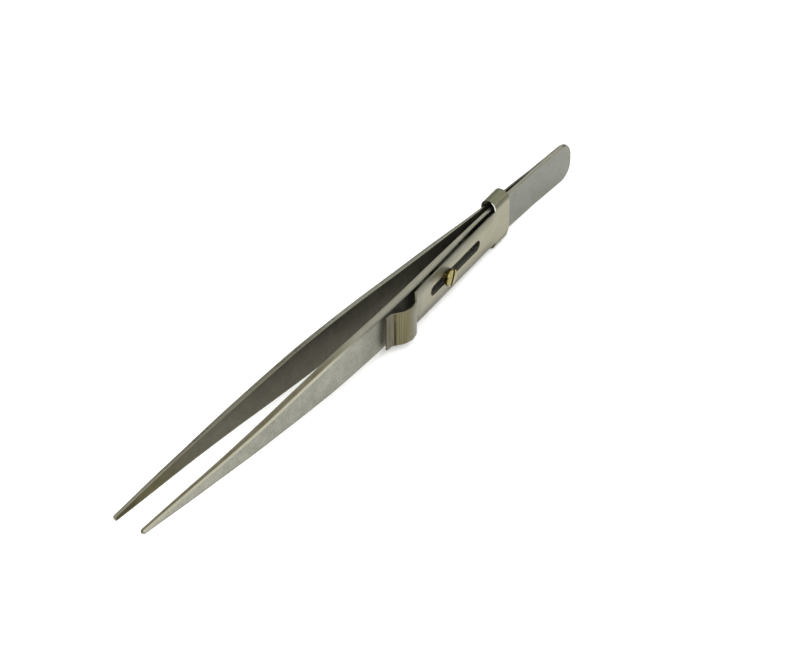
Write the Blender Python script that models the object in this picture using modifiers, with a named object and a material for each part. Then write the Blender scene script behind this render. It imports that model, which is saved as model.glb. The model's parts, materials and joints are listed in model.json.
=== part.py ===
"""Slide-lock precision tweezers, standing on their thin edges.

Two spring-steel arms are welded together at the tail. A bent sheet-metal slide runs along the front arm
on a brass screw, and its loop goes round both arms: pushed towards the points, it squeezes the arms shut.

Axes: +X towards the points, +Y towards the side that carries the slide, +Z up. Metres.
The parts are modelled from the tail's end (x = 0), on the plane between the arms (y = 0) and on the arms'
mid-height (z = 0). An empty then puts the origin under the middle of the whole object.
"""

import math

import bmesh
import bpy
import numpy as np
from mathutils import Vector

# The arms
LENGTH = 0.165
POINT_ROUNDING = 0.0005
TAIL_CORNER = 0.0042
SEAM = 0.0003                # working gap between neighbouring solids
FLEXURE = 0.018              # where the welded tail ends and each arm bends
HALF_GAPS = (                # distance along the arm, half the gap between the arms
    (FLEXURE, 0.00015),
    (0.034, 0.00052),
    (0.056, 0.00150),
    (0.082, 0.00288),
    (0.105, 0.00350),
    (0.137, 0.00382),
    (LENGTH, 0.00335),
)
THICKNESSES = (              # distance along the arm, thickness of one arm
    (0.0, 0.00066),
    (0.024, 0.00066),
    (0.036, 0.00072),
    (0.058, 0.00142),
    (0.074, 0.00158),
    (0.122, 0.00155),
    (0.144, 0.00108),
    (LENGTH, 0.00088),
)
WIDTHS = (                   # distance along the arm, width of its inner face
    (0.0, 0.0103),
    (0.034, 0.0102),
    (0.056, 0.0097),
    (0.070, 0.00945),
    (0.085, 0.0095),
    (0.097, 0.0092),
    (0.110, 0.0079),
    (0.124, 0.00605),
    (0.138, 0.0045),
    (0.150, 0.00325),
    (LENGTH, 0.00135),
)
EDGE_LEANS = (               # distance along the arm, how far its upper edge leans in to the outer face
    (0.0, 0.00030),
    (0.034, 0.00026),
    (0.044, 0.00022),
    (0.056, 0.00034),
    (0.070, 0.00055),
    (0.085, 0.00060),
    (0.097, 0.00055),
    (0.112, 0.00040),
    (0.138, 0.00036),
    (0.150, 0.00024),
    (LENGTH, 0.00016),
)
LOWER_LEAN = 0.00015         # the lower edge leans in by this much, all along
ARM_STATIONS = 34
TAIL_STATIONS = 10

# The slide: one sheet, bent
SHEET = 0.00040
PLATE_ANGLE = math.atan(0.084)   # the plate leans away from the middle plane towards the points
PLATE_OFFSET = -0.00080          # where the plate's mid-surface, drawn on to the tail's end, would be
PLATE_HALF_WIDTH = 0.00445
LOOP_REAR = 0.0275
LOOP_LENGTH = 0.0064
LOOP_GAP = 0.0032                # clear distance between the loop's two walls
LOOP_SPRING = 0.00475            # height above mid-height at which each ear starts to curl
EAR_SEAM = 0.0008                # gap between the two ears behind the rear arm
UPPER_EAR_TAPER = 0.0006         # the upper ear's rear edge moves forward by this much as the ear curls
LOWER_EAR_TAPER = 0.0017
EAR_STEPS = 10
TAB_ROOT = 0.0696
TAB_WAVE = (                     # along the plate, out from the plate's mid-surface
    (0.0, 0.0),
    (0.0016, 0.0011),
    (0.0033, 0.00205),
    (0.0050, 0.0023),
    (0.0073, 0.00165),
    (0.0086, 0.0006),
    (0.0100, -0.0004),
    (0.0118, -0.0005),
)
TAB_STEPS = 20
TAB_CORNER = 0.0011

# The slot in the plate and the guide screw through it
SLOT_REAR = 0.0411
SLOT_FRONT = 0.0630
SLOT_WIDTH = 0.0027
SCREW_AT = 0.0557
HEAD_RADIUS = 0.0021
HEAD_HEIGHT = 0.00115
HEAD_CHAMFER = 0.0003
HEAD_CLEARANCE = 0.0003
DRIVER_SLOT_WIDTH = 0.00080
DRIVER_SLOT_DEPTH = 0.0005
DRIVER_SLOT_TILT = math.radians(-22)
NECK_RADIUS = 0.00105
THREAD_RADIUS = 0.00075
ROUND_STEPS = 28
MERGE_DISTANCE = 0.00001

STEEL = ("satin_steel", (0.56, 0.56, 0.53, 1.0), 0.38)
SLIDE_STEEL = ("slide_steel", (0.60, 0.58, 0.50, 1.0), 0.34)
BRASS = ("brass", (0.80, 0.63, 0.28, 1.0), 0.22)


def smooth_table(points):
    """A smooth function through a few points, straight on beyond them (monotone between neighbours)."""
    xs = np.array([p[0] for p in points])
    ys = np.array([p[1] for p in points])
    steps = np.diff(xs)
    rises = np.diff(ys) / steps
    slopes = np.concatenate([rises[:1], np.zeros(len(xs) - 2), rises[-1:]])
    for i in range(1, len(xs) - 1):
        if rises[i - 1] * rises[i] > 0:
            slopes[i] = 2.0 / (1.0 / rises[i - 1] + 1.0 / rises[i])

    def at(x):
        i = int(np.clip(np.searchsorted(xs, x) - 1, 0, len(steps) - 1))
        u = (x - xs[i]) / steps[i]
        start = (1 + 2 * u) * (1 - u) ** 2 * ys[i] + u * (1 - u) ** 2 * steps[i] * slopes[i]
        end = u * u * (3 - 2 * u) * ys[i + 1] + u * u * (u - 1) * steps[i] * slopes[i + 1]
        return float(start + end)

    return at


half_gap = smooth_table(HALF_GAPS)
thickness = smooth_table(THICKNESSES)
arm_width = smooth_table(WIDTHS)
edge_lean = smooth_table(EDGE_LEANS)


def outer_face(x):
    """Distance from the middle plane to an arm's outer face."""
    return half_gap(x) + thickness(x)


def plate_middle(x):
    """The plate's mid-surface: its distance from the middle plane."""
    return PLATE_OFFSET + math.tan(PLATE_ANGLE) * x


def new_collection(name):
    collection = bpy.data.collections.new(name)
    bpy.context.scene.collection.children.link(collection)
    return collection


def material(spec):
    name, colour, roughness = spec
    found = bpy.data.materials.get(name)
    if found:
        return found
    made = bpy.data.materials.new(name)
    made.use_nodes = True
    shader = made.node_tree.nodes["Principled BSDF"]
    shader.inputs["Base Color"].default_value = colour
    shader.inputs["Roughness"].default_value = roughness
    shader.inputs["Metallic"].default_value = 1.0
    return made


def object_from(bm, name, collection, finish=None):
    """Turns a bmesh into an object in a collection."""
    mesh = bpy.data.meshes.new(name)
    bm.to_mesh(mesh)
    bm.free()
    made = bpy.data.objects.new(name, mesh)
    collection.objects.link(made)
    if finish:
        mesh.materials.append(material(finish))
    return made


def loft(sections):
    """A closed bmesh through rings of points, all with the same number of points."""
    bm = bmesh.new()
    rings = [[bm.verts.new(p) for p in section] for section in sections]
    for ring, following in zip(rings, rings[1:]):
        for i in range(len(ring)):
            j = (i + 1) % len(ring)
            bm.faces.new((ring[i], ring[j], following[j], following[i]))
    bm.faces.new(rings[0])
    bm.faces.new(rings[-1])
    bmesh.ops.recalc_face_normals(bm, faces=bm.faces)
    return bm


def cut(target, cutter):
    """Takes a cutter's volume out of a part."""
    boolean = target.modifiers.new("cut_" + cutter.name, "BOOLEAN")
    boolean.operation = "DIFFERENCE"
    boolean.solver = "EXACT"
    boolean.object = cutter


def as_cutter(made, parent):
    made.hide_render = True
    made.display_type = "WIRE"
    made.parent = parent
    return made


def arm_section(x, side, shrink=1.0):
    """The arm's four corners at x: a wide inner face, and edges that lean in to a narrower outer face."""
    inner = half_gap(x)
    outer = outer_face(x)
    middle = (inner + outer) / 2
    half = arm_width(x) / 2
    lean = edge_lean(x)
    corners = ((inner, -half), (inner, half), (outer, half - lean), (outer, LOWER_LEAN - half))
    return [
        (x - FLEXURE, side * (middle + (y - middle) * shrink), z * shrink)
        for y, z in corners
    ]


def make_arm(name, side, collection, parent):
    """One arm from the flexure to the point. Its origin is on the flexure's axis."""
    last = LENGTH - POINT_ROUNDING
    sections = [arm_section(x, side) for x in np.linspace(FLEXURE + SEAM / 2, last, ARM_STATIONS)]
    sections.append(arm_section(LENGTH, side, shrink=0.65))
    arm = object_from(loft(sections), name, collection, STEEL)
    arm.location = (FLEXURE, 0, 0)
    arm.parent = parent
    return arm


def make_tail(collection, parent):
    """The welded tail: both arms' ends face to face, with rounded corners."""
    sections = []
    end = FLEXURE - SEAM / 2
    rounded = [TAIL_CORNER * (1 - math.cos(a)) for a in np.linspace(0.0, math.pi / 2, TAIL_STATIONS)]
    for x in rounded + [end]:
        inset = TAIL_CORNER - math.sqrt(TAIL_CORNER**2 - (TAIL_CORNER - min(x, TAIL_CORNER)) ** 2)
        half = arm_width(x) / 2 - inset
        outer = thickness(x)
        lean = edge_lean(x)
        corners = ((0, -half), (-outer, LOWER_LEAN - half), (-outer, half - lean),
                   (0, half), (outer, half - lean), (outer, LOWER_LEAN - half))
        sections.append([(x, y, z) for y, z in corners])
    tail = object_from(loft(sections), "welded_tail", collection, STEEL)
    tail.parent = parent
    return tail


def slide_x(x):
    """Distance along the plate, from the screw, of the point of the plate at x."""
    return (x - SCREW_AT) / math.cos(PLATE_ANGLE)


def extrude_edges(bm, edges, offset):
    """Extrudes edges by an offset and returns the new edges."""
    made = bmesh.ops.extrude_edge_only(bm, edges=edges)["geom"]
    verts = [g for g in made if isinstance(g, bmesh.types.BMVert)]
    bmesh.ops.translate(bm, verts=verts, vec=offset)
    return [g for g in made if isinstance(g, bmesh.types.BMEdge)
            and all(v in verts for v in g.verts)]


def nearest_edge(bm, point):
    """The edge whose middle is nearest to a point."""
    return min(bm.edges, key=lambda edge: (edge.verts[0].co.lerp(edge.verts[1].co, 0.5) - point).length)


def curl_ear(bm, edge, side):
    """Bends the sheet from the plate's edge over both arms and down behind the rear one."""
    centre_y = -(LOOP_GAP + SHEET) / 2
    edges = extrude_edges(bm, [edge], (0, 0, side * (LOOP_SPRING - PLATE_HALF_WIDTH)))
    spun = bmesh.ops.spin(
        bm,
        geom=edges + list(edges[0].verts),
        cent=(0, centre_y, side * LOOP_SPRING),
        axis=(1, 0, 0),
        angle=side * math.pi,
        steps=EAR_STEPS,
    )["geom_last"]
    edges = [g for g in spun if isinstance(g, bmesh.types.BMEdge)]
    extrude_edges(bm, edges, (0, 0, -side * (LOOP_SPRING - EAR_SEAM / 2)))


def ear_cut_back(point):
    """How far an ear's rear edge has moved forward: from nothing at the plate to all at the curl's top."""
    taper = UPPER_EAR_TAPER if point.z > 0 else LOWER_EAR_TAPER
    radius = (LOOP_GAP + SHEET) / 2
    if point.y < -radius:
        return taper
    climb = (abs(point.z) - PLATE_HALF_WIDTH) / (LOOP_SPRING + radius - PLATE_HALF_WIDTH)
    return taper * max(0.0, climb)


def wave_the_tab(bm, edge):
    """Bends the plate's front end into the finger tab."""
    wave = smooth_table(TAB_WAVE)
    length = TAB_WAVE[-1][0]
    edges = [edge]
    at = Vector((0, 0, 0))
    for x in np.linspace(0.0, length, TAB_STEPS + 1)[1:]:
        to = Vector((x, wave(x), 0))
        edges = extrude_edges(bm, edges, to - at)
        at = to
    bmesh.ops.bevel(bm, geom=list(edges[0].verts), offset=TAB_CORNER, segments=4,
                    profile=0.5, affect="VERTICES")


def slot_cutter(collection, parent):
    """A round-ended bar the size of the slot."""
    bm = bmesh.new()
    radius = SLOT_WIDTH / 2
    bmesh.ops.create_cone(bm, cap_ends=True, segments=ROUND_STEPS, radius1=radius, radius2=radius,
                          depth=SHEET * 4)
    straight = (slide_x(SLOT_FRONT) - slide_x(SLOT_REAR)) / 2 - radius
    half_step = math.pi / ROUND_STEPS
    for vert in bm.verts:
        angle = math.atan2(vert.co.y, vert.co.x) + half_step
        vert.co.x = radius * math.cos(angle)
        vert.co.y = radius * math.sin(angle)
        vert.co.x += math.copysign(straight, vert.co.x)
    cutter = object_from(bm, "slot_cutter", collection)
    cutter.rotation_euler = (math.pi / 2, 0, 0)
    cutter.location = ((slide_x(SLOT_FRONT) + slide_x(SLOT_REAR)) / 2, 0, 0)
    return as_cutter(cutter, parent)


def make_slide(collection, cutters, parent):
    """The slide's mid-surface is bent from a flat plate, then given the sheet's thickness."""
    rear = slide_x(LOOP_REAR)
    front = slide_x(LOOP_REAR + LOOP_LENGTH)
    bm = bmesh.new()
    ends = [bm.verts.new((rear, 0, z)) for z in (-PLATE_HALF_WIDTH, PLATE_HALF_WIDTH)]
    first = bm.edges.new(ends)
    loop_front = extrude_edges(bm, [first], (front - rear, 0, 0))
    tab_edge = extrude_edges(bm, loop_front, (slide_x(TAB_ROOT) - front, 0, 0))
    for side in (-1, 1):
        ear_root = Vector(((rear + front) / 2, 0, side * PLATE_HALF_WIDTH))
        curl_ear(bm, nearest_edge(bm, ear_root), side)
    for vert in bm.verts:
        if vert.co.x < (rear + front) / 2:
            vert.co.x += ear_cut_back(vert.co)
    wave_the_tab(bm, tab_edge[0])
    bmesh.ops.recalc_face_normals(bm, faces=bm.faces)
    slide = object_from(bm, "lock_slide", collection, SLIDE_STEEL)
    solidify = slide.modifiers.new("sheet", "SOLIDIFY")
    solidify.thickness = SHEET
    solidify.offset = 0.0
    solidify.use_even_offset = True
    slide.parent = parent
    slide.location = (SCREW_AT, plate_middle(SCREW_AT), 0)
    slide.rotation_euler = (0, 0, PLATE_ANGLE)
    cut(slide, slot_cutter(cutters, slide))
    return slide


def make_screw(collection, cutters, parent):
    """The shouldered guide screw: its axis is square to the plate and its z = 0 is under the head."""
    neck = SHEET + HEAD_CLEARANCE + plate_middle(SCREW_AT) - SHEET / 2 - outer_face(SCREW_AT) - SEAM
    tip = neck + SEAM + thickness(SCREW_AT)
    profile = (
        (0, HEAD_HEIGHT),
        (HEAD_RADIUS - HEAD_CHAMFER, HEAD_HEIGHT),
        (HEAD_RADIUS, HEAD_HEIGHT - HEAD_CHAMFER),
        (HEAD_RADIUS, 0),
        (NECK_RADIUS, 0),
        (NECK_RADIUS, -neck),
        (THREAD_RADIUS, -neck),
        (THREAD_RADIUS, -tip),
        (0, -tip),
    )
    bm = bmesh.new()
    verts = [bm.verts.new((x, 0, z)) for x, z in profile]
    for a, b in zip(verts, verts[1:]):
        bm.edges.new((a, b))
    screw = object_from(bm, "guide_screw", collection, BRASS)
    turn = screw.modifiers.new("turn", "SCREW")
    turn.steps = ROUND_STEPS
    turn.render_steps = ROUND_STEPS
    turn.use_merge_vertices = True
    turn.merge_threshold = MERGE_DISTANCE
    turn.use_smooth_shade = True
    screw.parent = parent
    normal = Vector((-math.sin(PLATE_ANGLE), math.cos(PLATE_ANGLE), 0))
    on_plate = Vector((SCREW_AT, plate_middle(SCREW_AT), 0))
    screw.location = on_plate + normal * (SHEET / 2 + HEAD_CLEARANCE)
    screw.rotation_euler = (math.pi / 2, 0, PLATE_ANGLE + math.pi)
    blade = bmesh.new()
    bmesh.ops.create_cube(blade, size=1.0)
    bmesh.ops.scale(blade, vec=(DRIVER_SLOT_WIDTH, HEAD_RADIUS * 3, DRIVER_SLOT_DEPTH * 2), verts=blade.verts)
    driver_slot = object_from(blade, "driver_slot_cutter", cutters)
    driver_slot.location = (0, 0, HEAD_HEIGHT)
    driver_slot.rotation_euler = (0, 0, DRIVER_SLOT_TILT)
    cut(screw, as_cutter(driver_slot, screw))
    return screw


def drill_for_screw(arm, cutters, screw):
    """The screw's hole through the front arm, with working clearance round the thread."""
    bm = bmesh.new()
    radius = THREAD_RADIUS + SEAM
    bmesh.ops.create_cone(bm, cap_ends=True, segments=ROUND_STEPS, radius1=radius, radius2=radius,
                          depth=thickness(SCREW_AT) * 4)
    drill = object_from(bm, "screw_hole_cutter", cutters)
    drill.location = (0, 0, -2 * thickness(SCREW_AT))
    cut(arm, as_cutter(drill, screw))


def main():
    for old in list(bpy.data.objects):
        bpy.data.objects.remove(old, do_unlink=True)
    parts = new_collection("slide_lock_tweezers")
    cutters = new_collection("cutters")
    frame = bpy.data.objects.new("tweezers_frame", None)
    parts.objects.link(frame)
    rear_reach = max(outer_face(x) for x in np.linspace(FLEXURE, LENGTH, 200))
    crest = max(TAB_WAVE, key=lambda point: point[1])
    front_reach = plate_middle(TAB_ROOT + crest[0]) + crest[1] + SHEET / 2
    loop_reach = LOOP_SPRING + LOOP_GAP / 2 + SHEET
    frame.location = (-LENGTH / 2, (rear_reach - front_reach) / 2, loop_reach)
    make_tail(parts, frame)
    make_arm("rear_arm", -1, parts, frame)
    front_arm = make_arm("front_arm", 1, parts, frame)
    make_slide(parts, cutters, frame)
    screw = make_screw(parts, cutters, frame)
    drill_for_screw(front_arm, cutters, screw)


main()
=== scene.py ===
"""The looks of the slide-lock tweezers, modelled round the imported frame.

Everything is in metres. The pieces are modelled in the tweezers' own terms: x from the tail's end towards
the points, y from the plane between the arms, z from the arms' mid-height. place() then puts them in the
frame.
"""

import json
import math

import bmesh
import bpy
import numpy as np
from mathutils import Matrix, Vector


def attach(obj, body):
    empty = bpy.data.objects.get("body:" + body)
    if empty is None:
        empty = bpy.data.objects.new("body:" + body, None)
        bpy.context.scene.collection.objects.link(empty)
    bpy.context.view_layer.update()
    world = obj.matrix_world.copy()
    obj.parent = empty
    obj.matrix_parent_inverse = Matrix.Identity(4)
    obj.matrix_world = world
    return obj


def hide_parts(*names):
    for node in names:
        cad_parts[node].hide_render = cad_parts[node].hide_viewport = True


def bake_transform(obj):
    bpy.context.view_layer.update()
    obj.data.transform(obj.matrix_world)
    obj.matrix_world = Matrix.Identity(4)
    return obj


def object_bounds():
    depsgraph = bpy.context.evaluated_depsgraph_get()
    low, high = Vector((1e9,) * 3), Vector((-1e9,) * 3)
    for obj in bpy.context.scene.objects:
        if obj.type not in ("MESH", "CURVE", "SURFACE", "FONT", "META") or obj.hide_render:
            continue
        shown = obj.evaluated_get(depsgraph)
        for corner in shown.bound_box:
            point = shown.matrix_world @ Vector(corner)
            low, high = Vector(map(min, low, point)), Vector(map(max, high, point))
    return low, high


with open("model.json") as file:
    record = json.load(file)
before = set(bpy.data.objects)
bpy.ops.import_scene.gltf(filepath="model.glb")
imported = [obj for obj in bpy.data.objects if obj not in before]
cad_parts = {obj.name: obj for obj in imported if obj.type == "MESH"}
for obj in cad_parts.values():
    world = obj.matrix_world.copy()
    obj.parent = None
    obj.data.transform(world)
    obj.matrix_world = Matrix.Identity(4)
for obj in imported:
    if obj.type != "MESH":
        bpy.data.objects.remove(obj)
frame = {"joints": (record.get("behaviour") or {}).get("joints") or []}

cad_low, cad_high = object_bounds()
joints = {joint["name"]: joint for joint in frame["joints"]}
flexure = Vector(joints["front_arm_flex"]["pos_m"])
TAIL_END = Vector((cad_low.x, flexure.y, flexure.z))

# The arms, as in the frame
LENGTH = cad_high.x - cad_low.x
TAIL_CORNER = 0.0042
POINT_RADIUS = 0.0006
HALF_GAPS = (
    (0.0, 0.000004),
    (0.0150, 0.000004),
    (0.0200, 0.00016),
    (0.0340, 0.00052),
    (0.0560, 0.00150),
    (0.0820, 0.00288),
    (0.1050, 0.00350),
    (0.1370, 0.00382),
    (LENGTH, 0.00335),
)
THICKNESSES = (
    (0.0, 0.00066),
    (0.024, 0.00066),
    (0.036, 0.00072),
    (0.058, 0.00142),
    (0.074, 0.00158),
    (0.122, 0.00155),
    (0.144, 0.00108),
    (LENGTH, 0.00088),
)
WIDTHS = (                   # distance along the arm, width of its inner face
    (0.0, 0.0103),
    (0.034, 0.0102),
    (0.056, 0.0097),
    (0.070, 0.00945),
    (0.085, 0.0095),
    (0.097, 0.0092),
    (0.110, 0.0079),
    (0.124, 0.00605),
    (0.138, 0.0045),
    (0.150, 0.00325),
    (LENGTH, 0.00135),
)
EDGE_LEANS = (               # distance along the arm, how far its ground edges lean in to the outer face
    (0.0, 0.00030),
    (0.034, 0.00026),
    (0.044, 0.00022),
    (0.056, 0.00034),
    (0.070, 0.00055),
    (0.085, 0.00060),
    (0.097, 0.00055),
    (0.112, 0.00040),
    (0.138, 0.00036),
    (0.150, 0.00024),
    (LENGTH, 0.00016),
)
LOWER_LEAN = 0.00015             # the same for its lower edges
EDGE_TURN = 0.001                # up to this height from mid-height, upper and lower edges blend at the ends
INNER_ROUNDING = 0.00010         # radii of the arm's long corners
UPPER_ROUNDING = 0.00028
LOWER_ROUNDING = 0.00042
INNER_FACE_RINGS = (0.0009, 0.00035)     # distances in from the outline of the inner face's rings of points
OUTER_FACE_RINGS = (0.0007, 0.0011)      # the same on the outer face, from where its edge ends
EDGE_RINGS = (0.3, 0.6)                  # rings on the ground edge, as shares of the thickness
INNER_CORNER_HIGHLIGHT = 0.15                        # how much of the painted highlight on the outer corner the inner corner takes
WIDEST_REACH = 0.42                      # how far in the rings may lie, as a share of the arm's width
LEAST_REACH = 0.0004

# The slide, as in the frame
SHEET = 0.00040
PLATE_ANGLE = math.atan(0.084)   # the plate leans away from the middle plane towards the points
PLATE_OFFSET = -0.00080          # where the plate's mid-surface, drawn on to the tail's end, would be
PLATE_HALF_WIDTH = 0.00445
LOOP_REAR = 0.0275
LOOP_LENGTH = 0.0064
LOOP_GAP = 0.0032                # clear distance between the loop's two walls
LOOP_SPRING = 0.00475            # height above mid-height at which each ear starts to curl
EAR_SEAM = 0.0008                # gap between the two ears behind the rear arm
EAR_ROOT = 0.0037                # height on the plate at which each ear's rear edge starts to move forward
UPPER_EAR_TAPER = 0.0006
LOWER_EAR_TAPER = 0.0017
TAB_ROOT = 0.0696
TAB_WAVE = (                     # along the plate, out from the plate's mid-surface
    (0.0, 0.0),
    (0.0016, 0.0011),
    (0.0033, 0.00205),
    (0.0050, 0.0023),
    (0.0073, 0.00165),
    (0.0086, 0.0006),
    (0.0100, -0.0004),
    (0.0118, -0.0005),
)
TAB_CORNER = 0.0011
SLOT_REAR = 0.0411
SLOT_FRONT = 0.0630
SLOT_WIDTH = 0.0027
SHEET_ROUNDING = 0.00008         # radius of the sheet's cut edges
CORNER_ANGLE = math.radians(40)  # corners sharper than this are rounded

# The guide screw, as in the frame
SCREW_AT = 0.0557
HEAD_RADIUS = 0.0021
HEAD_HEIGHT = 0.00115
HEAD_CHAMFER = 0.0003
HEAD_CLEARANCE = 0.0003
DRIVER_SLOT_WIDTH = 0.00080
DRIVER_SLOT_DEPTH = 0.0005
DRIVER_SLOT_TILT = math.radians(-22)
NECK_RADIUS = 0.00105
THREAD_RADIUS = 0.00075
HEAD_DOME = 0.00010              # how far the head's middle stands above its chamfer
HEAD_UNDER_ROUNDING = 0.00008
CHAMFER_FROM = 0.25              # angle at which the chamfer's rounding starts, in radians
THREAD_SHARE = 0.98              # how deep the thread goes into the front arm, as a share of its thickness
SHARP_ANGLE = math.radians(38)
MERGE_DISTANCE = 1e-7

# The view
VIEW_AZIMUTH = 125.89
VIEW_ELEVATION = 37.75
VIEW_DISTANCE = 0.8
VIEW_LENS = 163.05
SENSOR_WIDTH = 36.0
AIM = (0.07731, 0.00556, 0.00071)


def smooth_table(points):
    """A smooth function through a few points, straight on beyond them (monotone between neighbours)."""
    xs = np.array([p[0] for p in points])
    ys = np.array([p[1] for p in points])
    steps = np.diff(xs)
    rises = np.diff(ys) / steps
    slopes = np.concatenate([rises[:1], np.zeros(len(xs) - 2), rises[-1:]])
    for i in range(1, len(xs) - 1):
        if rises[i - 1] * rises[i] > 0:
            slopes[i] = 2.0 / (1.0 / rises[i - 1] + 1.0 / rises[i])

    def at(x):
        i = int(np.clip(np.searchsorted(xs, x) - 1, 0, len(steps) - 1))
        u = (x - xs[i]) / steps[i]
        start = (1 + 2 * u) * (1 - u) ** 2 * ys[i] + u * (1 - u) ** 2 * steps[i] * slopes[i]
        end = u * u * (3 - 2 * u) * ys[i + 1] + u * u * (u - 1) * steps[i] * slopes[i + 1]
        return float(start + end)

    return at


half_gap = smooth_table(HALF_GAPS)
thickness = smooth_table(THICKNESSES)
arm_width = smooth_table(WIDTHS)
edge_lean = smooth_table(EDGE_LEANS)


def outer_face(x):
    return half_gap(x) + thickness(x)


def plate_middle(x):
    """The plate's mid-surface: its distance from the middle plane."""
    return PLATE_OFFSET + math.tan(PLATE_ANGLE) * x


# ---------------------------------------------------------------- meshes

def object_from(bm, name):
    mesh = bpy.data.meshes.new(name)
    bm.to_mesh(mesh)
    bm.free()
    made = bpy.data.objects.new(name, mesh)
    bpy.context.scene.collection.objects.link(made)
    return made


def place(made):
    """Moves a piece's mesh from the tweezers' own terms into the frame."""
    made.data.transform(Matrix.Translation(TAIL_END) @ made.matrix_basis)
    made.matrix_basis = Matrix.Identity(4)
    return made


def applied(made):
    """Makes the modifiers' result the object's own mesh."""
    graph = bpy.context.evaluated_depsgraph_get()
    mesh = bpy.data.meshes.new_from_object(made.evaluated_get(graph))
    made.modifiers.clear()
    made.data = mesh
    return made


def take_away(target, cutter):
    boolean = target.modifiers.new("cut", "BOOLEAN")
    boolean.operation = "DIFFERENCE"
    boolean.solver = "EXACT"
    boolean.object = cutter
    applied(target)
    bpy.data.objects.remove(cutter, do_unlink=True)


def mark(mesh, name, rule):
    """Writes rule(vertex position) into a float attribute that the materials read."""
    attribute = mesh.attributes.new(name, "FLOAT", "POINT")
    for i, vert in enumerate(mesh.vertices):
        attribute.data[i].value = float(rule(vert.co))


def ramp(x, start, end):
    """0 before start, 1 after end, smooth between."""
    t = min(max((x - start) / (end - start), 0.0), 1.0)
    return t * t * (3 - 2 * t)


# ---------------------------------------------------------------- the arms

ARM_STEPS = 150
CORNER_STEPS = 14


def half_outline():
    """Half an arm's outline seen from its side, from the tail's end to the point, as (x, z) points."""
    straight = arm_width(0.0) / 2 - TAIL_CORNER
    points = [(0.0, z) for z in np.linspace(0.0, straight, 3)]
    for a in np.linspace(0.0, math.pi / 2, CORNER_STEPS)[1:]:
        points.append((TAIL_CORNER * (1 - math.cos(a)), straight + TAIL_CORNER * math.sin(a)))
    last = LENGTH - POINT_RADIUS
    points += [(x, arm_width(x) / 2) for x in np.linspace(TAIL_CORNER, last, ARM_STEPS)[1:]]
    half = arm_width(last) / 2
    for a in np.linspace(0.0, math.pi / 2, CORNER_STEPS)[1:]:
        points.append((last + POINT_RADIUS * math.sin(a), half * math.cos(a)))
    return np.array(points)


def inward(points):
    """The direction into the arm, square to its outline, at each point."""
    along = np.gradient(points, axis=0)
    along[0] = (0.0, 1.0)
    along[-1] = (0.0, -1.0)
    along /= np.linalg.norm(along, axis=1)[:, None]
    return np.stack([along[:, 1], -along[:, 0]], axis=1)


def fillet(corner, before, after, radius, steps=4):
    """The points that round a corner of a section."""
    before = np.array(before) / np.linalg.norm(before)
    after = np.array(after) / np.linalg.norm(after)
    turn = math.acos(np.clip(before @ after, -1, 1))
    reach = radius * math.tan(turn / 2)
    start = np.array(corner) - before * reach
    end = np.array(corner) + after * reach
    middle = np.array(corner)
    made = []
    for u in np.linspace(0.0, 1.0, steps + 1):
        made.append((1 - u) ** 2 * start + 2 * u * (1 - u) * middle + u * u * end)
    return made


def arm_profile(x, z):
    """A section of the arm's edge, from the inner face round to the outer one.

    Each point is (distance in from the outline, height over the inner face, edge, side, inner), and the last
    three say how much of the painted corner highlight it takes, and how far it counts as ground edge and
    inner face.
    """
    thick = thickness(x)
    upper = ramp(z, -EDGE_TURN, EDGE_TURN)
    lean = LOWER_LEAN + (edge_lean(x) - LOWER_LEAN) * upper
    rounding = LOWER_ROUNDING + (UPPER_ROUNDING - LOWER_ROUNDING) * upper
    inner, outer = (0.0, 0.0), (lean, thick)
    profile = [(distance, 0.0, 0.0, 0.0, 1.0) for distance in INNER_FACE_RINGS]
    profile += [(*p, INNER_CORNER_HIGHLIGHT, 0.5, 0.5) for p in fillet(inner, (-1, 0), outer, INNER_ROUNDING)]
    profile += [(lean * u, thick * u, 0.0, 1.0, 0.0) for u in EDGE_RINGS]
    # The outer corner takes the painted corner highlight on the upper edge only, none on the lower.
    profile += [(*p, upper, 0.5, 0.0) for p in fillet(outer, outer, (1, 0), rounding, steps=6)]
    profile += [(lean + distance, thick, 0.0, 0.0, 0.0) for distance in OUTER_FACE_RINGS]
    return profile


def make_arm(name, side):
    """One arm, from the tail to the point, as one strip."""
    outline = half_outline()
    into = inward(outline)
    closed = np.concatenate([outline, outline[-2:0:-1] * (1, -1)])
    closed_into = np.concatenate([into, into[-2:0:-1] * (1, -1)])
    count, half = len(closed), len(outline)
    bm = bmesh.new()
    marks = [bm.verts.layers.float.new(mark_name) for mark_name in ("edge", "side", "inner")]
    rings = []
    for point, way in zip(closed, closed_into):
        column = []
        room = max(arm_width(float(point[0])) * WIDEST_REACH, LEAST_REACH)
        for distance, height, *values in arm_profile(float(point[0]), float(point[1])):
            x, z = point + way * min(distance, room)
            y = half_gap(float(x)) + height
            vert = bm.verts.new((x, side * y, z))
            for layer, value in zip(marks, values):
                vert[layer] = value
            column.append(vert)
        rings.append(column)
    for i in range(count):
        here, following = rings[i], rings[(i + 1) % count]
        for a, b, c, d in zip(here, here[1:], following[1:], following):
            bm.faces.new((a, b, c, d))
    for layer in (0, -1):
        for i in range(half - 1):
            ring = [rings[i][layer], rings[i + 1][layer],
                    rings[(count - i - 1) % count][layer], rings[(count - i) % count][layer]]
            bm.faces.new(list(dict.fromkeys(ring)))
    bmesh.ops.recalc_face_normals(bm, faces=bm.faces)
    arm = object_from(bm, name)
    arm.data.shade_smooth()
    return arm


# ---------------------------------------------------------------- the slide

EAR_STEPS = 28
TAB_STEPS = 48
ROUND_STEPS = 64

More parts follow.
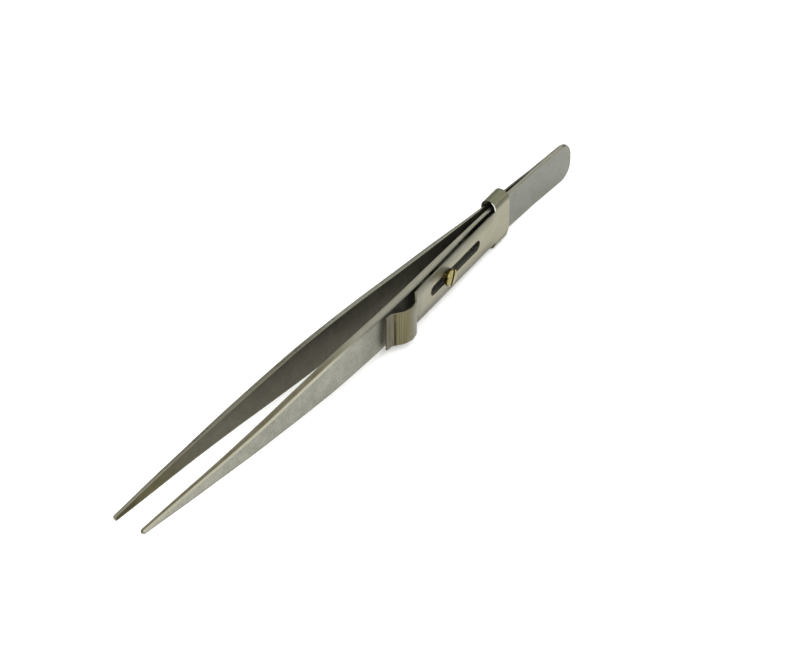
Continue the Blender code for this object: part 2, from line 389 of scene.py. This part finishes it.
# Where the slide's finish changes: (none yet, all of it) along the plate, in height or in depth
TAB_FADE = (-0.0002, 0.0006)                                   # from the tab's root
EAR_FADE = (PLATE_HALF_WIDTH - 0.0003, LOOP_SPRING + 0.0006)
CURL_FADE = (LOOP_SPRING + 0.0008, LOOP_SPRING + 0.0017)
GLINT_HEIGHTS = (PLATE_HALF_WIDTH - 0.0006, PLATE_HALF_WIDTH)
GLINT_DEPTHS = (-0.0013, -0.0006)
GLINT_ENDS = (0.0004, 0.0002)                                  # in front of the loop


def slide_x(x):
    """Distance along the plate, from the screw, of the point of the plate at x."""
    return (x - SCREW_AT) / math.cos(PLATE_ANGLE)


def extrude_edges(bm, edges, offset):
    """Extrudes edges by an offset and returns the new edges."""
    made = bmesh.ops.extrude_edge_only(bm, edges=edges)["geom"]
    verts = [g for g in made if isinstance(g, bmesh.types.BMVert)]
    bmesh.ops.translate(bm, verts=verts, vec=offset)
    return [g for g in made if isinstance(g, bmesh.types.BMEdge)
            and all(v in verts for v in g.verts)]


def nearest_edge(bm, point):
    """The edge whose middle is nearest to a point."""
    return min(bm.edges, key=lambda edge: (edge.verts[0].co.lerp(edge.verts[1].co, 0.5) - point).length)


def curl_ear(bm, edge, side):
    """Bends the sheet from the plate's edge over both arms and down behind the rear one."""
    centre_y = -(LOOP_GAP + SHEET) / 2
    edges = extrude_edges(bm, [edge], (0, 0, side * (LOOP_SPRING - PLATE_HALF_WIDTH)))
    spun = bmesh.ops.spin(
        bm,
        geom=edges + list(edges[0].verts),
        cent=(0, centre_y, side * LOOP_SPRING),
        axis=(1, 0, 0),
        angle=side * math.pi,
        steps=EAR_STEPS,
    )["geom_last"]
    edges = [g for g in spun if isinstance(g, bmesh.types.BMEdge)]
    extrude_edges(bm, edges, (0, 0, -side * (LOOP_SPRING - EAR_SEAM / 2)))


def ear_cut_back(point):
    """How far an ear's rear edge has moved forward: from nothing at the plate to all at the curl's top."""
    taper = UPPER_EAR_TAPER if point.z > 0 else LOWER_EAR_TAPER
    radius = (LOOP_GAP + SHEET) / 2
    if point.y < -radius:
        return taper
    climb = (abs(point.z) - EAR_ROOT) / (LOOP_SPRING + radius - EAR_ROOT)
    return taper * max(0.0, climb)


def wave_the_tab(bm, edges):
    """Bends the plate's front end into the finger tab."""
    wave = smooth_table(TAB_WAVE)
    length = TAB_WAVE[-1][0]
    at = Vector((0, 0, 0))
    for x in np.linspace(0.0, length, TAB_STEPS + 1)[1:]:
        to = Vector((x, wave(x), 0))
        edges = extrude_edges(bm, edges, to - at)
        at = to
    ends = [vert for edge in edges for vert in edge.verts if abs(vert.co.z) > EAR_ROOT + SHEET]
    bmesh.ops.bevel(bm, geom=ends, offset=TAB_CORNER, segments=8, profile=0.5, affect="VERTICES")


def slot_cutter():
    """A round-ended bar the size of the slot, in the plate's own terms."""
    bm = bmesh.new()
    radius = SLOT_WIDTH / 2
    bmesh.ops.create_cone(bm, cap_ends=True, segments=ROUND_STEPS, radius1=radius, radius2=radius,
                          depth=SHEET * 4)
    straight = (slide_x(SLOT_FRONT) - slide_x(SLOT_REAR)) / 2 - radius
    half_step = math.pi / ROUND_STEPS
    for vert in bm.verts:
        angle = math.atan2(vert.co.y, vert.co.x) + half_step
        vert.co.x = radius * math.cos(angle) + math.copysign(straight, math.cos(angle))
        vert.co.y = radius * math.sin(angle)
    cutter = object_from(bm, "slot_cutter")
    cutter.rotation_euler = (math.pi / 2, 0, 0)
    cutter.location = ((slide_x(SLOT_FRONT) + slide_x(SLOT_REAR)) / 2, 0, 0)
    return cutter


def make_slide():
    """The slide: a flat plate, its ears and its tab, then the sheet's thickness, the slot and soft edges."""
    rear = slide_x(LOOP_REAR)
    front = slide_x(LOOP_REAR + LOOP_LENGTH)
    bm = bmesh.new()
    heights = (-PLATE_HALF_WIDTH, -EAR_ROOT, EAR_ROOT, PLATE_HALF_WIDTH)
    ends = [bm.verts.new((rear, 0, z)) for z in heights]
    across = [bm.edges.new(pair) for pair in zip(ends, ends[1:])]
    loop_front = extrude_edges(bm, across, (front - rear, 0, 0))
    tab_edge = extrude_edges(bm, loop_front, (slide_x(TAB_ROOT) - front, 0, 0))
    for side in (-1, 1):
        ear_root = Vector(((rear + front) / 2, 0, side * PLATE_HALF_WIDTH))
        curl_ear(bm, nearest_edge(bm, ear_root), side)
    for vert in bm.verts:
        if vert.co.x < (rear + front) / 2:
            vert.co.x += ear_cut_back(vert.co)
    wave_the_tab(bm, tab_edge)
    bmesh.ops.recalc_face_normals(bm, faces=bm.faces)
    slide = object_from(bm, "slide")
    solidify = slide.modifiers.new("sheet", "SOLIDIFY")
    solidify.thickness = SHEET
    solidify.offset = 0.0
    solidify.use_even_offset = True
    take_away(slide, slot_cutter())
    slide.data.shade_smooth()
    soft = slide.modifiers.new("soft_edges", "BEVEL")
    soft.width = SHEET_ROUNDING
    soft.segments = 3
    soft.limit_method = "ANGLE"
    soft.angle_limit = CORNER_ANGLE
    soft.harden_normals = True
    applied(slide)
    tab_from = slide_x(TAB_ROOT)
    mark(slide.data, "tab", lambda co: ramp(co.x - tab_from, *TAB_FADE))
    mark(slide.data, "tab_way", lambda co: (co.x - tab_from) / TAB_WAVE[-1][0])
    mark(slide.data, "ear", lambda co: ramp(abs(co.z), *EAR_FADE))
    mark(slide.data, "curl", lambda co: ramp(abs(co.z), *CURL_FADE))
    mark(slide.data, "glint", lambda co: (ramp(co.z, *GLINT_HEIGHTS) * ramp(co.y, *GLINT_DEPTHS)
                                          * ramp(co.x - front, *GLINT_ENDS)))
    slide.location = (SCREW_AT, plate_middle(SCREW_AT), 0)
    slide.rotation_euler = (0, 0, PLATE_ANGLE)
    return slide


# ---------------------------------------------------------------- the screw

def screw_profile():
    """Half the screw's section, from the head's top to the thread's tip, as (radius, height) points."""
    neck = SHEET + HEAD_CLEARANCE + plate_middle(SCREW_AT) - SHEET / 2 - outer_face(SCREW_AT)
    tip = neck + thickness(SCREW_AT) * THREAD_SHARE
    flat = HEAD_RADIUS - HEAD_CHAMFER
    profile = [(flat * u, HEAD_HEIGHT - HEAD_DOME * u * u) for u in np.linspace(0.0, 1.0, 6)]
    for a in np.linspace(CHAMFER_FROM, math.pi / 2, 6):
        profile.append((flat + HEAD_CHAMFER * math.sin(a),
                        HEAD_HEIGHT - HEAD_DOME - HEAD_CHAMFER * (1 - math.cos(a))))
    profile += [(HEAD_RADIUS, HEAD_UNDER_ROUNDING), (HEAD_RADIUS - HEAD_UNDER_ROUNDING, 0.0),
                (NECK_RADIUS, 0.0), (NECK_RADIUS, -neck), (THREAD_RADIUS, -neck), (THREAD_RADIUS, -tip),
                (0.0, -tip)]
    return profile


def make_screw():
    """The brass guide screw: its axis is square to the plate and its z = 0 is under the head."""
    bm = bmesh.new()
    verts = [bm.verts.new((x, 0, z)) for x, z in screw_profile()]
    edges = [bm.edges.new(pair) for pair in zip(verts, verts[1:])]
    bmesh.ops.spin(bm, geom=verts + edges, cent=(0, 0, 0), axis=(0, 0, 1), angle=2 * math.pi,
                   steps=ROUND_STEPS, use_merge=True)
    bmesh.ops.remove_doubles(bm, verts=bm.verts, dist=MERGE_DISTANCE)
    bmesh.ops.recalc_face_normals(bm, faces=bm.faces)
    screw = object_from(bm, "brass_screw")
    blade = bmesh.new()
    bmesh.ops.create_cube(blade, size=1.0)
    size = (DRIVER_SLOT_WIDTH, HEAD_RADIUS * 3, DRIVER_SLOT_DEPTH * 2)
    bmesh.ops.scale(blade, vec=size, verts=blade.verts)
    driver_slot = object_from(blade, "driver_slot_cutter")
    driver_slot.location = (0, 0, HEAD_HEIGHT)
    driver_slot.rotation_euler = (0, 0, DRIVER_SLOT_TILT)
    take_away(screw, driver_slot)
    screw.data.shade_smooth()
    screw.data.set_sharp_from_angle(angle=SHARP_ANGLE)
    normal = Vector((-math.sin(PLATE_ANGLE), math.cos(PLATE_ANGLE), 0))
    on_plate = Vector((SCREW_AT, plate_middle(SCREW_AT), 0))
    screw.location = TAIL_END + on_plate + normal * (SHEET / 2 + HEAD_CLEARANCE)
    screw.rotation_euler = (math.pi / 2, 0, PLATE_ANGLE + math.pi)
    return screw


# ---------------------------------------------------------------- materials

class Nodes:
    """Short names for building a material's node tree."""

    def __init__(self, name):
        self.material = bpy.data.materials.new(name)
        self.material.use_nodes = True
        self.tree = self.material.node_tree
        self.shader = self.tree.nodes["Principled BSDF"]

    def node(self, kind, **settings):
        made = self.tree.nodes.new(kind)
        for key, value in settings.items():
            setattr(made, key, value)
        return made

    def link(self, source, target):
        self.tree.links.new(source, target)

    def put(self, value, socket):
        if isinstance(value, bpy.types.NodeSocket):
            self.link(value, socket)
        else:
            socket.default_value = value

    def coordinates(self, scale=(1, 1, 1)):
        texture = self.node("ShaderNodeTexCoord")
        mapping = self.node("ShaderNodeMapping")
        mapping.inputs["Scale"].default_value = scale
        self.link(texture.outputs["Object"], mapping.inputs["Vector"])
        return mapping.outputs["Vector"]

    def noise(self, scale, stretch=(1, 1, 1), detail=4.0, roughness=0.55):
        made = self.node("ShaderNodeTexNoise")
        made.inputs["Scale"].default_value = scale
        made.inputs["Detail"].default_value = detail
        made.inputs["Roughness"].default_value = roughness
        self.link(self.coordinates(stretch), made.inputs["Vector"])
        return made.outputs["Fac"]

    def attribute(self, name):
        return self.node("ShaderNodeAttribute", attribute_name=name).outputs["Fac"]

    def spread(self, value, low, high, to_low=0.0, to_high=1.0):
        made = self.node("ShaderNodeMapRange")
        made.interpolation_type = "SMOOTHSTEP"
        self.put(value, made.inputs["Value"])
        made.inputs["From Min"].default_value = low
        made.inputs["From Max"].default_value = high
        made.inputs["To Min"].default_value = to_low
        made.inputs["To Max"].default_value = to_high
        return made.outputs["Result"]

    def math(self, operation, a, b):
        made = self.node("ShaderNodeMath", operation=operation)
        self.put(a, made.inputs[0])
        self.put(b, made.inputs[1])
        return made.outputs["Value"]

    def mix(self, amount, a, b):
        """A colour between a and b."""
        made = self.node("ShaderNodeMix", data_type="RGBA")
        self.put(amount, made.inputs["Factor"])
        self.put(a, made.inputs["A"])
        self.put(b, made.inputs["B"])
        return made.outputs["Result"]

    def position(self, axis):
        """The position along an axis of the frame, in metres."""
        split = self.node("ShaderNodeSeparateXYZ")
        self.link(self.coordinates(), split.inputs["Vector"])
        return split.outputs[axis]

    def between(self, value, low, high, soft):
        """1 between two values, 0 outside, with soft ends."""
        return self.math("MULTIPLY", self.spread(value, low - soft, low + soft),
                         self.spread(value, high - soft, high + soft, 1.0, 0.0))

    def product(self, *values):
        found = values[0]
        for value in values[1:]:
            found = self.math("MULTIPLY", found, value)
        return found

    def bump(self, height, distance, strength=1.0, under=None):
        made = self.node("ShaderNodeBump")
        made.inputs["Distance"].default_value = distance
        made.inputs["Strength"].default_value = strength
        self.put(height, made.inputs["Height"])
        if under:
            self.link(under, made.inputs["Normal"])
        return made.outputs["Normal"]

    def finish(self, colour, roughness, normal, metallic=1.0):
        self.put(colour, self.shader.inputs["Base Color"])
        self.put(roughness, self.shader.inputs["Roughness"])
        self.link(normal, self.shader.inputs["Normal"])
        self.put(metallic, self.shader.inputs["Metallic"])
        return self.material


# The spring steel's colours; a pair is mixed by a pattern
TAIL_FACE = ((0.134, 0.139, 0.119, 1), (0.170, 0.175, 0.155, 1))
OUTER_FACE = ((0.186, 0.186, 0.153, 1), (0.260, 0.260, 0.224, 1))
POINT_FACE = (0.330, 0.330, 0.275, 1)
FACE_LINES = (0.170, 0.165, 0.130, 1)
FACE_SPECKS = (0.125, 0.118, 0.080, 1)
INNER_FACE = ((0.088, 0.083, 0.058, 1), (0.140, 0.132, 0.098, 1))
INNER_REAR = (0.190, 0.180, 0.140, 1)
INNER_STAIN = ((0.058, 0.050, 0.010, 1), (0.092, 0.082, 0.026, 1))
INNER_POINT = (0.026, 0.021, 0.001, 1)
INNER_SPECKS = (0.060, 0.056, 0.034, 1)
# The two arms' ground edges are one finish: the rear arm's pair is painted lighter than the front arm's, as
# painted light and shade
FRONT_GROUND = ((0.235, 0.228, 0.185, 1), (0.095, 0.086, 0.052, 1))    # an edge's rear, its front
REAR_GROUND = ((0.400, 0.395, 0.320, 1), (0.225, 0.215, 0.160, 1))
GROUND_BLOTCH = (0.170, 0.162, 0.122, 1)
# Painted highlight on the upper outer corner: dark towards the tail, bright towards the points
CORNER_HIGHLIGHT = ((0.145, 0.145, 0.118, 1), (0.330, 0.320, 0.250, 1))
SHADED_EDGE = (0.040, 0.039, 0.028, 1)

# Where the spring steel's finish changes, from the tail's end
TAIL_TO_FACE = (0.020, 0.075)
FRONT_OF_EDGE = (0.086, 0.104)
NEAR_POINT = (0.120, LENGTH)
INNER_REAR_TO_FRONT = (0.060, 0.100)
STAIN_STARTS = (0.130, 0.158)
STAIN_DARKENS = (0.151, 0.162)
BESIDE_TAB = (0.0700, 0.0880, 0.0030)                # from, to, softness of both ends
SHADED_BY_LOOP = (0.0120, LOOP_REAR, 0.0030)


def steel_material(name, ground_colours, front_arm):
    """Satin spring steel: blotchy faces, ground edges toned per arm as painted light and shade, and a
    painted highlight on the upper outer corner near the points.
    """
    n = Nodes(name)
    edge, side, inner = (n.attribute(mark_name) for mark_name in ("edge", "side", "inner"))
    x = n.math("SUBTRACT", n.position("X"), TAIL_END.x)
    front = n.spread(x, *FRONT_OF_EDGE)
    blotch = n.noise(230.0, detail=6.0, roughness=0.62)
    stain = n.noise(90.0, stretch=(1, 1, 2), detail=4.0, roughness=0.6)
    speck = n.noise(1700.0, detail=3.0, roughness=0.7)
    grain = n.noise(5200.0, detail=2.0)
    lines = n.noise(420.0, stretch=(0.08, 3.0, 3.0), detail=3.0)

    tail = n.mix(n.spread(blotch, 0.32, 0.70), *TAIL_FACE)
    face = n.mix(n.spread(blotch, 0.32, 0.70), *OUTER_FACE)
    face = n.mix(n.spread(x, *TAIL_TO_FACE), tail, face)
    face = n.mix(n.math("MULTIPLY", n.spread(x, *NEAR_POINT), 0.6), face, POINT_FACE)
    face = n.mix(n.spread(lines, 0.30, 0.75, 0.0, 0.25), face, FACE_LINES)
    face = n.mix(n.spread(speck, 0.48, 0.68, 0.0, 0.55), face, FACE_SPECKS)

    inside = n.mix(n.spread(blotch, 0.30, 0.72), *INNER_FACE)
    inside = n.mix(n.spread(x, *INNER_REAR_TO_FRONT, 0.6, 0.0), inside, INNER_REAR)
    brown = n.mix(n.spread(stain, 0.40, 0.62), *INNER_STAIN)
    inside = n.mix(n.spread(x, *STAIN_STARTS), inside, brown)
    inside = n.mix(n.spread(x, *STAIN_DARKENS, 0.0, 0.7), inside, INNER_POINT)
    inside = n.mix(n.spread(speck, 0.48, 0.68, 0.0, 0.45), inside, INNER_SPECKS)

    # the ground edge's tone per arm is painted light and shade
    ground = n.mix(front, *ground_colours)
    ground = n.mix(n.spread(blotch, 0.30, 0.75, 0.0, 0.45), ground, GROUND_BLOTCH)
    base = n.mix(inner, face, inside)
    base = n.mix(side, base, ground)
    # painted highlight on the upper outer corner, brighter towards the points
    base = n.mix(n.spread(edge, 0.35, 0.95), base, n.mix(front, *CORNER_HIGHLIGHT))
    roughness = n.spread(blotch, 0.3, 0.7, 0.25, 0.36)
    roughness = n.math("ADD", roughness, n.math("MULTIPLY", inner, 0.16))
    if front_arm:
        roughness = n.math("ADD", roughness, n.math("MULTIPLY", n.between(x, *BESIDE_TAB), 0.22))
    else:
        base = n.mix(n.product(n.between(x, *SHADED_BY_LOOP), side), base, SHADED_EDGE)
    normal = n.bump(grain, 0.000012, 0.5)
    normal = n.bump(speck, 0.000010, 0.30, normal)
    normal = n.bump(lines, 0.000008, 0.30, normal)
    return n.finish(base, roughness, normal)


# The slide's colours; a pair is mixed by a pattern
PLATE = ((0.242, 0.229, 0.164, 1), (0.298, 0.284, 0.216, 1))
PLATE_STREAKS = (0.240, 0.235, 0.150, 1)
PLATE_SPECKS = (0.190, 0.175, 0.110, 1)
# painted shade on the plate's upper and lower margins
PLATE_MARGIN_SHADE = (0.120, 0.117, 0.082, 1)
TAB_LINES = ((0.096, 0.090, 0.054, 1), (0.158, 0.152, 0.102, 1))
TAB_OLIVE = ((0.105, 0.092, 0.048, 1), (0.165, 0.150, 0.092, 1))
TAB_LIP = ((0.096, 0.086, 0.056, 1), (0.142, 0.128, 0.096, 1))
# painted shade in the crease of the tab's valley
TAB_VALLEY_SHADE = (0.030, 0.024, 0.014, 1)
# painted shade on the ears where the sheet turns up, and a lighter painted shading on the curls' tops
EAR_BEND_SHADE = (0.088, 0.085, 0.058, 1)
CURL_TOP_SHADING = (0.150, 0.152, 0.100, 1)
# painted light and shade: one tone for cut rims that face up, outside the ears
UPPER_RIM_LIGHTING = (0.150, 0.142, 0.100, 1)
# painted shade on forward-facing cut rims, darkest on the upper ear's front edge
FRONT_RIM_SHADE = (0.140, 0.125, 0.080, 1)
LOOP_RIM_SHADE = (0.030, 0.030, 0.022, 1)
GLINT = (0.95, 0.94, 0.88, 1)

# Where the slide's finish changes
FRONT_OF_LOOP = (0.0325, 0.0375)         # from the tail's end
MARGIN = (0.34, 1.0)                     # height, as a share of the plate's half width
UPPER_EAR = (0.0, 0.0010)                # height
OLIVE_BAND = (0.55, 0.77, 0.04)          # along the tab, as a share of its length: from, to, softness
VALLEY = (0.765, 0.800, 0.012)
LIP_STARTS = (0.78, 0.84)


def tab_colour(n, tab_way, blotch, across):
    """The finger tab: fine upright lines, an olive band, painted shade in the valley and a paler lip in
    front.
    """
    lined = n.spread(across, 0.34, 0.66)
    colour = n.mix(n.between(tab_way, *OLIVE_BAND), n.mix(lined, *TAB_LINES), n.mix(lined, *TAB_OLIVE))
    colour = n.mix(n.spread(tab_way, *LIP_STARTS), colour, n.mix(lined, *TAB_LIP))
    # painted shade in the valley, made uneven by the blotches
    uneven = n.spread(blotch, 0.25, 0.60, 0.45, 0.95)
    return n.mix(n.math("MULTIPLY", n.between(tab_way, *VALLEY), uneven), colour, TAB_VALLEY_SHADE)


def slide_material():
    """The slide's sheet: warmer, smoother steel with painted light and shade at its edges, ears and curls,
    finely lined on the tab.
    """
    n = Nodes("slide_steel_satin")
    tab, tab_way, ear, curl, glint = (
        n.attribute(mark_name) for mark_name in ("tab", "tab_way", "ear", "curl", "glint"))
    x = n.math("SUBTRACT", n.position("X"), TAIL_END.x)
    z = n.math("SUBTRACT", n.position("Z"), TAIL_END.z)
    margin = n.math("DIVIDE", n.math("ABSOLUTE", z, 0.0), PLATE_HALF_WIDTH)
    facing = n.node("ShaderNodeSeparateXYZ")
    n.link(n.node("ShaderNodeNewGeometry").outputs["True Normal"], facing.inputs["Vector"])
    # upper_rim and front_rim pick faces by the way they point, for painted light and shade
    upper_rim = n.math("MULTIPLY", n.spread(facing.outputs["Z"], 0.5, 0.8), n.math("SUBTRACT", 1.0, ear))
    # faces that point forward, for painted shade and the painted glint
    front_rim = n.spread(facing.outputs["X"], 0.72, 0.88)
    blotch = n.noise(260.0, detail=6.0, roughness=0.6)
    speck = n.noise(1700.0, detail=3.0, roughness=0.7)
    grain = n.noise(5200.0, detail=2.0)
    upright = n.noise(520.0, stretch=(3.0, 3.0, 0.10), detail=3.0, roughness=0.6)
    across = n.noise(1500.0, stretch=(3.0, 3.0, 0.04), detail=3.0, roughness=0.6)

    base = n.mix(n.spread(blotch, 0.35, 0.68), *PLATE)
    base = n.mix(n.spread(upright, 0.35, 0.70, 0.0, 0.35), base, PLATE_STREAKS)
    base = n.mix(n.spread(speck, 0.48, 0.68, 0.0, 0.45), base, PLATE_SPECKS)
    # painted shade along the plate's margins, in front of the loop and off the tab
    edges = n.product(n.spread(margin, *MARGIN, 0.0, 0.95), n.spread(x, *FRONT_OF_LOOP),
                      n.math("SUBTRACT", 1.0, tab))
    base = n.mix(edges, base, PLATE_MARGIN_SHADE)
    base = n.mix(tab, base, tab_colour(n, tab_way, blotch, across))
    # painted shade where the sheet bends into the ears, lighter painted shading over the curls' tops
    base = n.mix(n.math("MULTIPLY", ear, 0.90), base, EAR_BEND_SHADE)
    base = n.mix(n.math("MULTIPLY", curl, 0.85), base, CURL_TOP_SHADING)
    # painted light and shade on the upward-facing rims
    base = n.mix(upper_rim, base, UPPER_RIM_LIGHTING)
    upper_ear = n.math("MULTIPLY", ear, n.spread(z, *UPPER_EAR))
    # forward-facing rims: painted shade, darkest on the upper ear, and the painted glint where marked
    rim_colour = n.mix(glint, n.mix(upper_ear, FRONT_RIM_SHADE, LOOP_RIM_SHADE), GLINT)
    base = n.mix(front_rim, base, rim_colour)
    metallic = n.math("SUBTRACT", 1.0, n.product(front_rim, glint))
    roughness = n.spread(blotch, 0.3, 0.7, 0.32, 0.44)
    normal = n.bump(grain, 0.000010, 0.5)
    normal = n.bump(speck, 0.000012, 0.3, normal)
    normal = n.bump(n.math("MULTIPLY", across, tab), 0.00003, 0.4, normal)
    return n.finish(base, roughness, normal, metallic)


BRASS = ((0.205, 0.165, 0.048, 1), (0.300, 0.262, 0.108, 1))
BRASS_IN_SHADE = (0.060, 0.042, 0.012, 1)
HEAD_SIDE = (HEAD_RADIUS - 0.00012, HEAD_RADIUS - 0.00004)     # distance from the axis
HEAD_SIDE_HEIGHTS = (0.0004, 0.0009)                           # over the head's underside
RINGS_PER_METRE = 60000.0                                      # in radians of a sine


def brass_material():
    """Turned brass: fine rings round the axis, a little tarnish, dark low on the head's side."""
    n = Nodes("brass_turned")
    split = n.node("ShaderNodeSeparateXYZ")
    n.link(n.coordinates(), split.inputs["Vector"])
    squares = (n.math("POWER", split.outputs[axis], 2.0) for axis in ("X", "Y"))
    radius = n.math("SQRT", n.math("ADD", *squares), 0.0)
    rings = n.math("SINE", n.math("MULTIPLY", radius, RINGS_PER_METRE), 0.0)
    tarnish = n.noise(900.0, detail=5.0)
    base = n.mix(n.spread(tarnish, 0.35, 0.7), *BRASS)
    shaded_side = n.product(n.spread(radius, *HEAD_SIDE),
                            n.spread(split.outputs["Z"], *HEAD_SIDE_HEIGHTS, 1.0, 0.0))
    base = n.mix(shaded_side, base, BRASS_IN_SHADE)
    roughness = n.spread(tarnish, 0.3, 0.7, 0.14, 0.26)
    normal = n.bump(rings, 0.000004, 0.5)
    return n.finish(base, roughness, normal)


def floor_material():
    """A plain floor that glows a little, so that the shadow on it stays as faint as the photograph's."""
    n = Nodes("pale_floor")
    n.shader.inputs["Base Color"].default_value = (0.95, 0.95, 0.95, 1)
    n.shader.inputs["Roughness"].default_value = 0.9
    n.shader.inputs["Emission Color"].default_value = (1.0, 1.0, 1.0, 1)
    n.shader.inputs["Emission Strength"].default_value = 0.14
    return n.material


# ---------------------------------------------------------------- the studio

FLOOR_HALF_WIDTH = 4.0
LIGHTS = (                       # name, direction from the tweezers, distance, side of the square, power
    ("key", (0.55, 0.55, 0.8), 2.0, 1.8, 20.0),
    ("edge", (-0.64, 0.66, 0.34), 1.4, 0.5, 3.0),
)
SKY = (                          # sine of the height over the horizon, colour
    (0.0, (0.26, 0.26, 0.24, 1)),
    (0.36, (0.17, 0.17, 0.1632, 1)),
    (0.56, (0.95, 0.95, 0.912, 1)),
    (1.0, (1.0, 1.0, 1.0, 1)),
)
SKY_STRENGTH = 1.55


def make_floor():
    bm = bmesh.new()
    bmesh.ops.create_grid(bm, x_segments=1, y_segments=1, size=FLOOR_HALF_WIDTH)
    floor = object_from(bm, "floor")
    floor.data.materials.append(floor_material())


def area_light(name, direction, distance, size, power):
    """A soft square light that shines on the middle of the tweezers."""
    data = bpy.data.lights.new(name, "AREA")
    data.shape = "SQUARE"
    data.size = size
    data.energy = power
    light = bpy.data.objects.new(name, data)
    bpy.context.scene.collection.objects.link(light)
    way = Vector(direction).normalized()
    light.location = way * distance
    light.rotation_euler = way.to_track_quat("Z", "Y").to_euler()


def make_world():
    """A bright studio ceiling over a darker band along the horizon."""
    world = bpy.data.worlds.new("studio")
    world.use_nodes = True
    bpy.context.scene.world = world
    tree = world.node_tree
    background = tree.nodes["Background"]
    texture = tree.nodes.new("ShaderNodeTexCoord")
    split = tree.nodes.new("ShaderNodeSeparateXYZ")
    colours = tree.nodes.new("ShaderNodeValToRGB")
    tree.links.new(texture.outputs["Generated"], split.inputs["Vector"])
    tree.links.new(split.outputs["Z"], colours.inputs["Fac"])
    tree.links.new(colours.outputs["Color"], background.inputs["Color"])
    stops = colours.color_ramp.elements
    for stop, (_, colour) in zip(stops, (SKY[0], SKY[-1])):
        stop.color = colour
    for position, colour in SKY[1:-1]:
        stops.new(position).color = colour
    background.inputs["Strength"].default_value = SKY_STRENGTH


def make_camera():
    azimuth, elevation = math.radians(VIEW_AZIMUTH), math.radians(VIEW_ELEVATION)
    back = Vector((math.sin(azimuth) * math.cos(elevation), -math.cos(azimuth) * math.cos(elevation),
                   math.sin(elevation)))
    data = bpy.data.cameras.new("camera")
    data.lens = VIEW_LENS
    data.sensor_width = SENSOR_WIDTH
    data.clip_start = 0.05
    data.clip_end = 20.0
    camera = bpy.data.objects.new("camera", data)
    bpy.context.scene.collection.objects.link(camera)
    camera.location = TAIL_END + Vector(AIM) + back * VIEW_DISTANCE
    camera.rotation_mode = "QUATERNION"
    camera.rotation_quaternion = (-back).to_track_quat("-Z", "Y")
    bpy.context.scene.camera = camera


# ---------------------------------------------------------------- putting it together

def main():
    steels = (steel_material("spring_steel_rear", REAR_GROUND, front_arm=False),
              steel_material("spring_steel_front", FRONT_GROUND, front_arm=True))
    slide_steel = slide_material()
    brass = brass_material()

    for name, side, body, nodes in (("rear_strip", -1, "rear_arm", ("rear_arm",)),
                                    ("front_strip", 1, "front_arm", ("front_arm", "welded_tail"))):
        arm = place(make_arm(name, side))
        arm.data.materials.append(steels[side > 0])
        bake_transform(arm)
        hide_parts(*nodes)

    slide = place(make_slide())
    slide.data.materials.clear()
    slide.data.materials.append(slide_steel)
    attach(slide, "slide")
    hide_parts("lock_slide")

    screw = make_screw()
    screw.data.materials.clear()
    screw.data.materials.append(brass)
    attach(screw, "front_arm")
    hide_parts("guide_screw")

    make_floor()
    make_world()
    for light in LIGHTS:
        area_light(*light)
    make_camera()
    bpy.context.scene.view_settings.view_transform = "Standard"


main()
